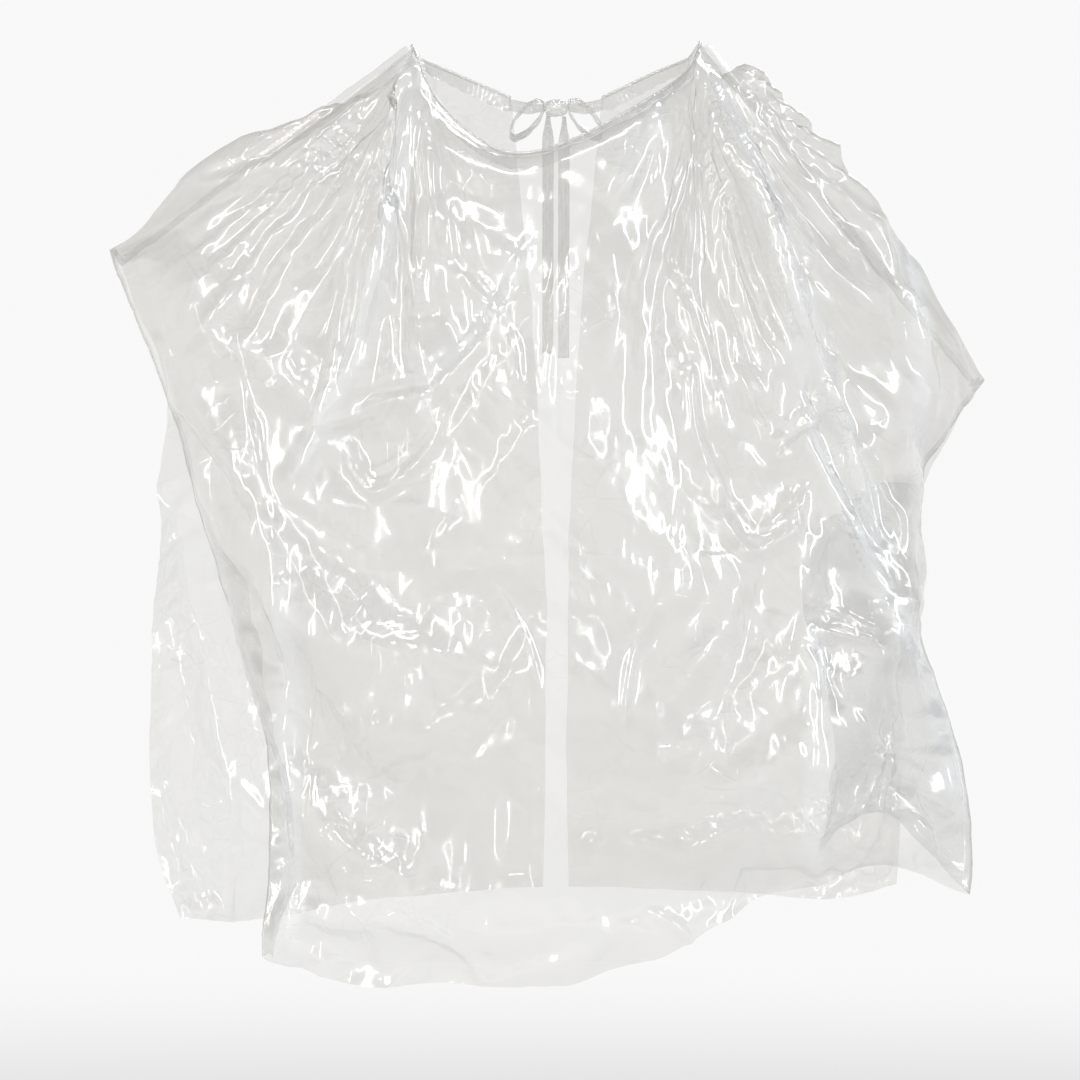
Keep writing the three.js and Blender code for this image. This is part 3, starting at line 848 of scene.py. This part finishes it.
def neck_tie(side, name):
    end = band_place(np.array([0.0 if side < 0 else 1.0]), np.array([0.5]))[0]
    knot_side = BOW_MIDDLE + row(side * (KNOT_SIZE[0] / 2 - 0.5), -KNOT_SIZE[1] / 4, 0)
    path = Curve([end, (end + knot_side) / 2 - row(0, 0, 1.2), knot_side])
    return ribbon(name, path.at, lambda v: TIE_WIDTH * (1 - 0.4 * ramp(0.5, 1, v)), rows=40)


def bow_loop(side, name):
    droop = math.radians(LOOP_DROOP)
    half = LOOP_LENGTH / 2
    flat_half = half * math.cos(droop)
    corner = math.hypot(flat_half, LOOP_HEIGHT / 2 * math.sin(droop))
    out = side * (KNOT_SIZE[0] / 2 + corner - flat_half)
    turn = np.array(Matrix.Rotation(side * droop, 3, "Y"))

    def path(v):
        angle = 2 * math.pi * v
        x = side * half * (1 - np.cos(angle))
        z = LOOP_HEIGHT / 2 * np.sin(angle)
        flat = np.stack([x, np.zeros_like(x), z], axis=-1)
        return in_bow(flat @ turn.T + row(out, LOOP_OUT, 0))

    def width(v):
        return TIE_WIDTH * (0.5 + 0.5 * np.sin(math.pi * v) ** 0.5)

    across = unit(BOW_TURN @ turn @ row(0, 1, 0))
    u, v = shares(columns=TIE_COLUMNS, rows=72)
    ahead = unit(path(v + 0.005) - path(v - 0.005))
    pleat = (triangle(u * 2.5) - 0.5) * (0.4 + 1.0 * (1 - width(v) / TIE_WIDTH))
    crinkle = 0.2 * np.sin(v * 50 + u * 6)
    return folded_film(name, path(v), across, np.cross(across, ahead), width(v), pleat + crinkle)


def tie_tail(side, name):
    """A tail follows the slope of the back down from the knot."""
    start = in_bow(row(side * TAIL_SPACING, -side * 1.8, -KNOT_SIZE[2] / 2 + 0.1))
    clear = -side * 0.006  # so that the tails pass each other
    slope = ((0.18 + clear, 0.19), (0.34 + clear, 0.47), (0.39 + clear, 0.88))
    path = Curve([start] + [start + row(0, out, -down) * TAIL_LENGTH for out, down in slope])
    return ribbon(name, path.along, lambda v: TIE_WIDTH * (0.32 + 0.68 * ramp(0, 0.14, v)), 130, twist=0.08)


def bow_knot():
    """A small round knot, wrapped slantwise by the tie."""
    bm = bmesh.new()
    bmesh.ops.create_uvsphere(bm, u_segments=44, v_segments=28, radius=1)
    for v in bm.verts:
        x, y, z = v.co
        wraps = float(triangle(np.array(math.atan2(z, y) / 1.3 + x * 0.9)))
        puckers = 0.04 * math.sin(9 * math.atan2(y, x) + 4 * z)
        grown = 0.9 + 0.1 * wraps + puckers
        squared = [math.copysign(abs(c) ** 0.85, c) for c in v.co]
        v.co = [c * grown * size / 2 for c, size in zip(squared, KNOT_SIZE)]
    bmesh.ops.smooth_vert(bm, verts=bm.verts, factor=0.3,
                          use_axis_x=True, use_axis_y=True, use_axis_z=True)
    for v in bm.verts:
        v.co = Vector(in_bow(np.array(v.co)))
    bmesh.ops.recalc_face_normals(bm, faces=bm.faces)
    return link("bow_knot_wrapped", bm)


finish_piece(neck_tie(-1, "right_neck_tie_film"), tie_finish, "tie", "front", "right_neck_tie")
finish_piece(neck_tie(1, "left_neck_tie_film"), tie_finish, "tie", "front", "left_neck_tie")
finish_piece(bow_knot(), tie_finish, "tie", "front", "bow_knot")
finish_piece(bow_loop(-1, "right_bow_loop_film"), tie_finish, "tie", "right_loop", "right_bow_loop")
finish_piece(bow_loop(1, "left_bow_loop_film"), tie_finish, "tie", "left_loop", "left_bow_loop")
finish_piece(tie_tail(-1, "right_tie_tail_film"), tie_finish, "tie", "right_tail", "right_tie_tail")
finish_piece(tie_tail(1, "left_tie_tail_film"), tie_finish, "tie", "left_tail", "left_tie_tail")


# ---------------------------------------------------------------- stage
BACKDROP = (0.972, 0.972, 0.97, 1.0)
FLOOR_RADIUS = 30000
FLOOR_BELOW = 1000


def floor():
    """A pale floor that fades into the room's light at its rim."""
    bm = bmesh.new()
    bmesh.ops.create_circle(bm, cap_ends=True, segments=96, radius=FLOOR_RADIUS)
    bmesh.ops.translate(bm, verts=bm.verts, vec=(0, 0, -FLOOR_BELOW))
    made = link("floor", bm, smooth=False)
    material = bpy.data.materials.new("pale floor")
    f = Finish(material)
    where = f.node("TexCoord", output="Object")
    distance = f.node("VectorMath", {"operation": "LENGTH"}, {0: where}, output="Value")
    away = distance.clamped(1.1, 4.5)
    matt = f.node("BsdfPrincipled", {}, {"Base Color": (0.93, 0.935, 0.94, 1), "Roughness": 0.9})
    light = f.node("Emission", {}, {"Color": BACKDROP, "Strength": 0.97})
    f.node("OutputMaterial", {}, {"Surface": f.node("MixShader", {}, {0: away, 1: matt, 2: light})})
    made.data.materials.append(material)


def softbox(name, place, size, power, colour):
    data = bpy.data.lights.new(name, "AREA")
    data.shape = "RECTANGLE"
    data.size, data.size_y = size
    data.energy = power
    data.color = colour
    made = bpy.data.objects.new(name, data)
    bpy.context.collection.objects.link(made)
    made.location = place
    made.rotation_mode = "QUATERNION"
    made.rotation_quaternion = (Vector((0, 0, -0.2)) - Vector(place)).to_track_quat("-Z", "Y")
    made.visible_camera = False


def daylight():
    """Even light from the sides, darker overhead, and narrow windows that draw lines on the folds."""
    room = bpy.data.worlds.new("room")
    bpy.context.scene.world = room
    f = Finish(room)
    where = f.node("TexCoord", output="Generated")
    height = f.node("SeparateXYZ", {}, {"Vector": where}, output="Z")
    strength = 0.97 - 0.72 * height.clamped(0.12, 0.6)
    light = f.node("Background", {}, {"Color": BACKDROP, "Strength": strength})
    f.node("OutputWorld", {}, {"Surface": light})
    softbox("window right", (-1.6, -1.8, 0.7), (0.2, 1.8), 18, (1.0, 0.97, 0.9))
    softbox("window left", (1.7, -1.6, 0.6), (0.2, 1.8), 18, (0.88, 0.94, 1.0))
    softbox("overhead", (0, -0.9, 2.0), (1.6, 0.14), 13, (1, 1, 1))
    softbox("near the eye", (-0.5, -2.4, 1.2), (0.2, 0.3), 6, (1, 0.99, 0.97))
    softbox("behind", (0.6, 1.9, 1.0), (0.3, 1.2), 9, (0.95, 0.97, 1.0))
    bpy.context.scene.view_settings.view_transform = "Standard"


floor()
daylight()
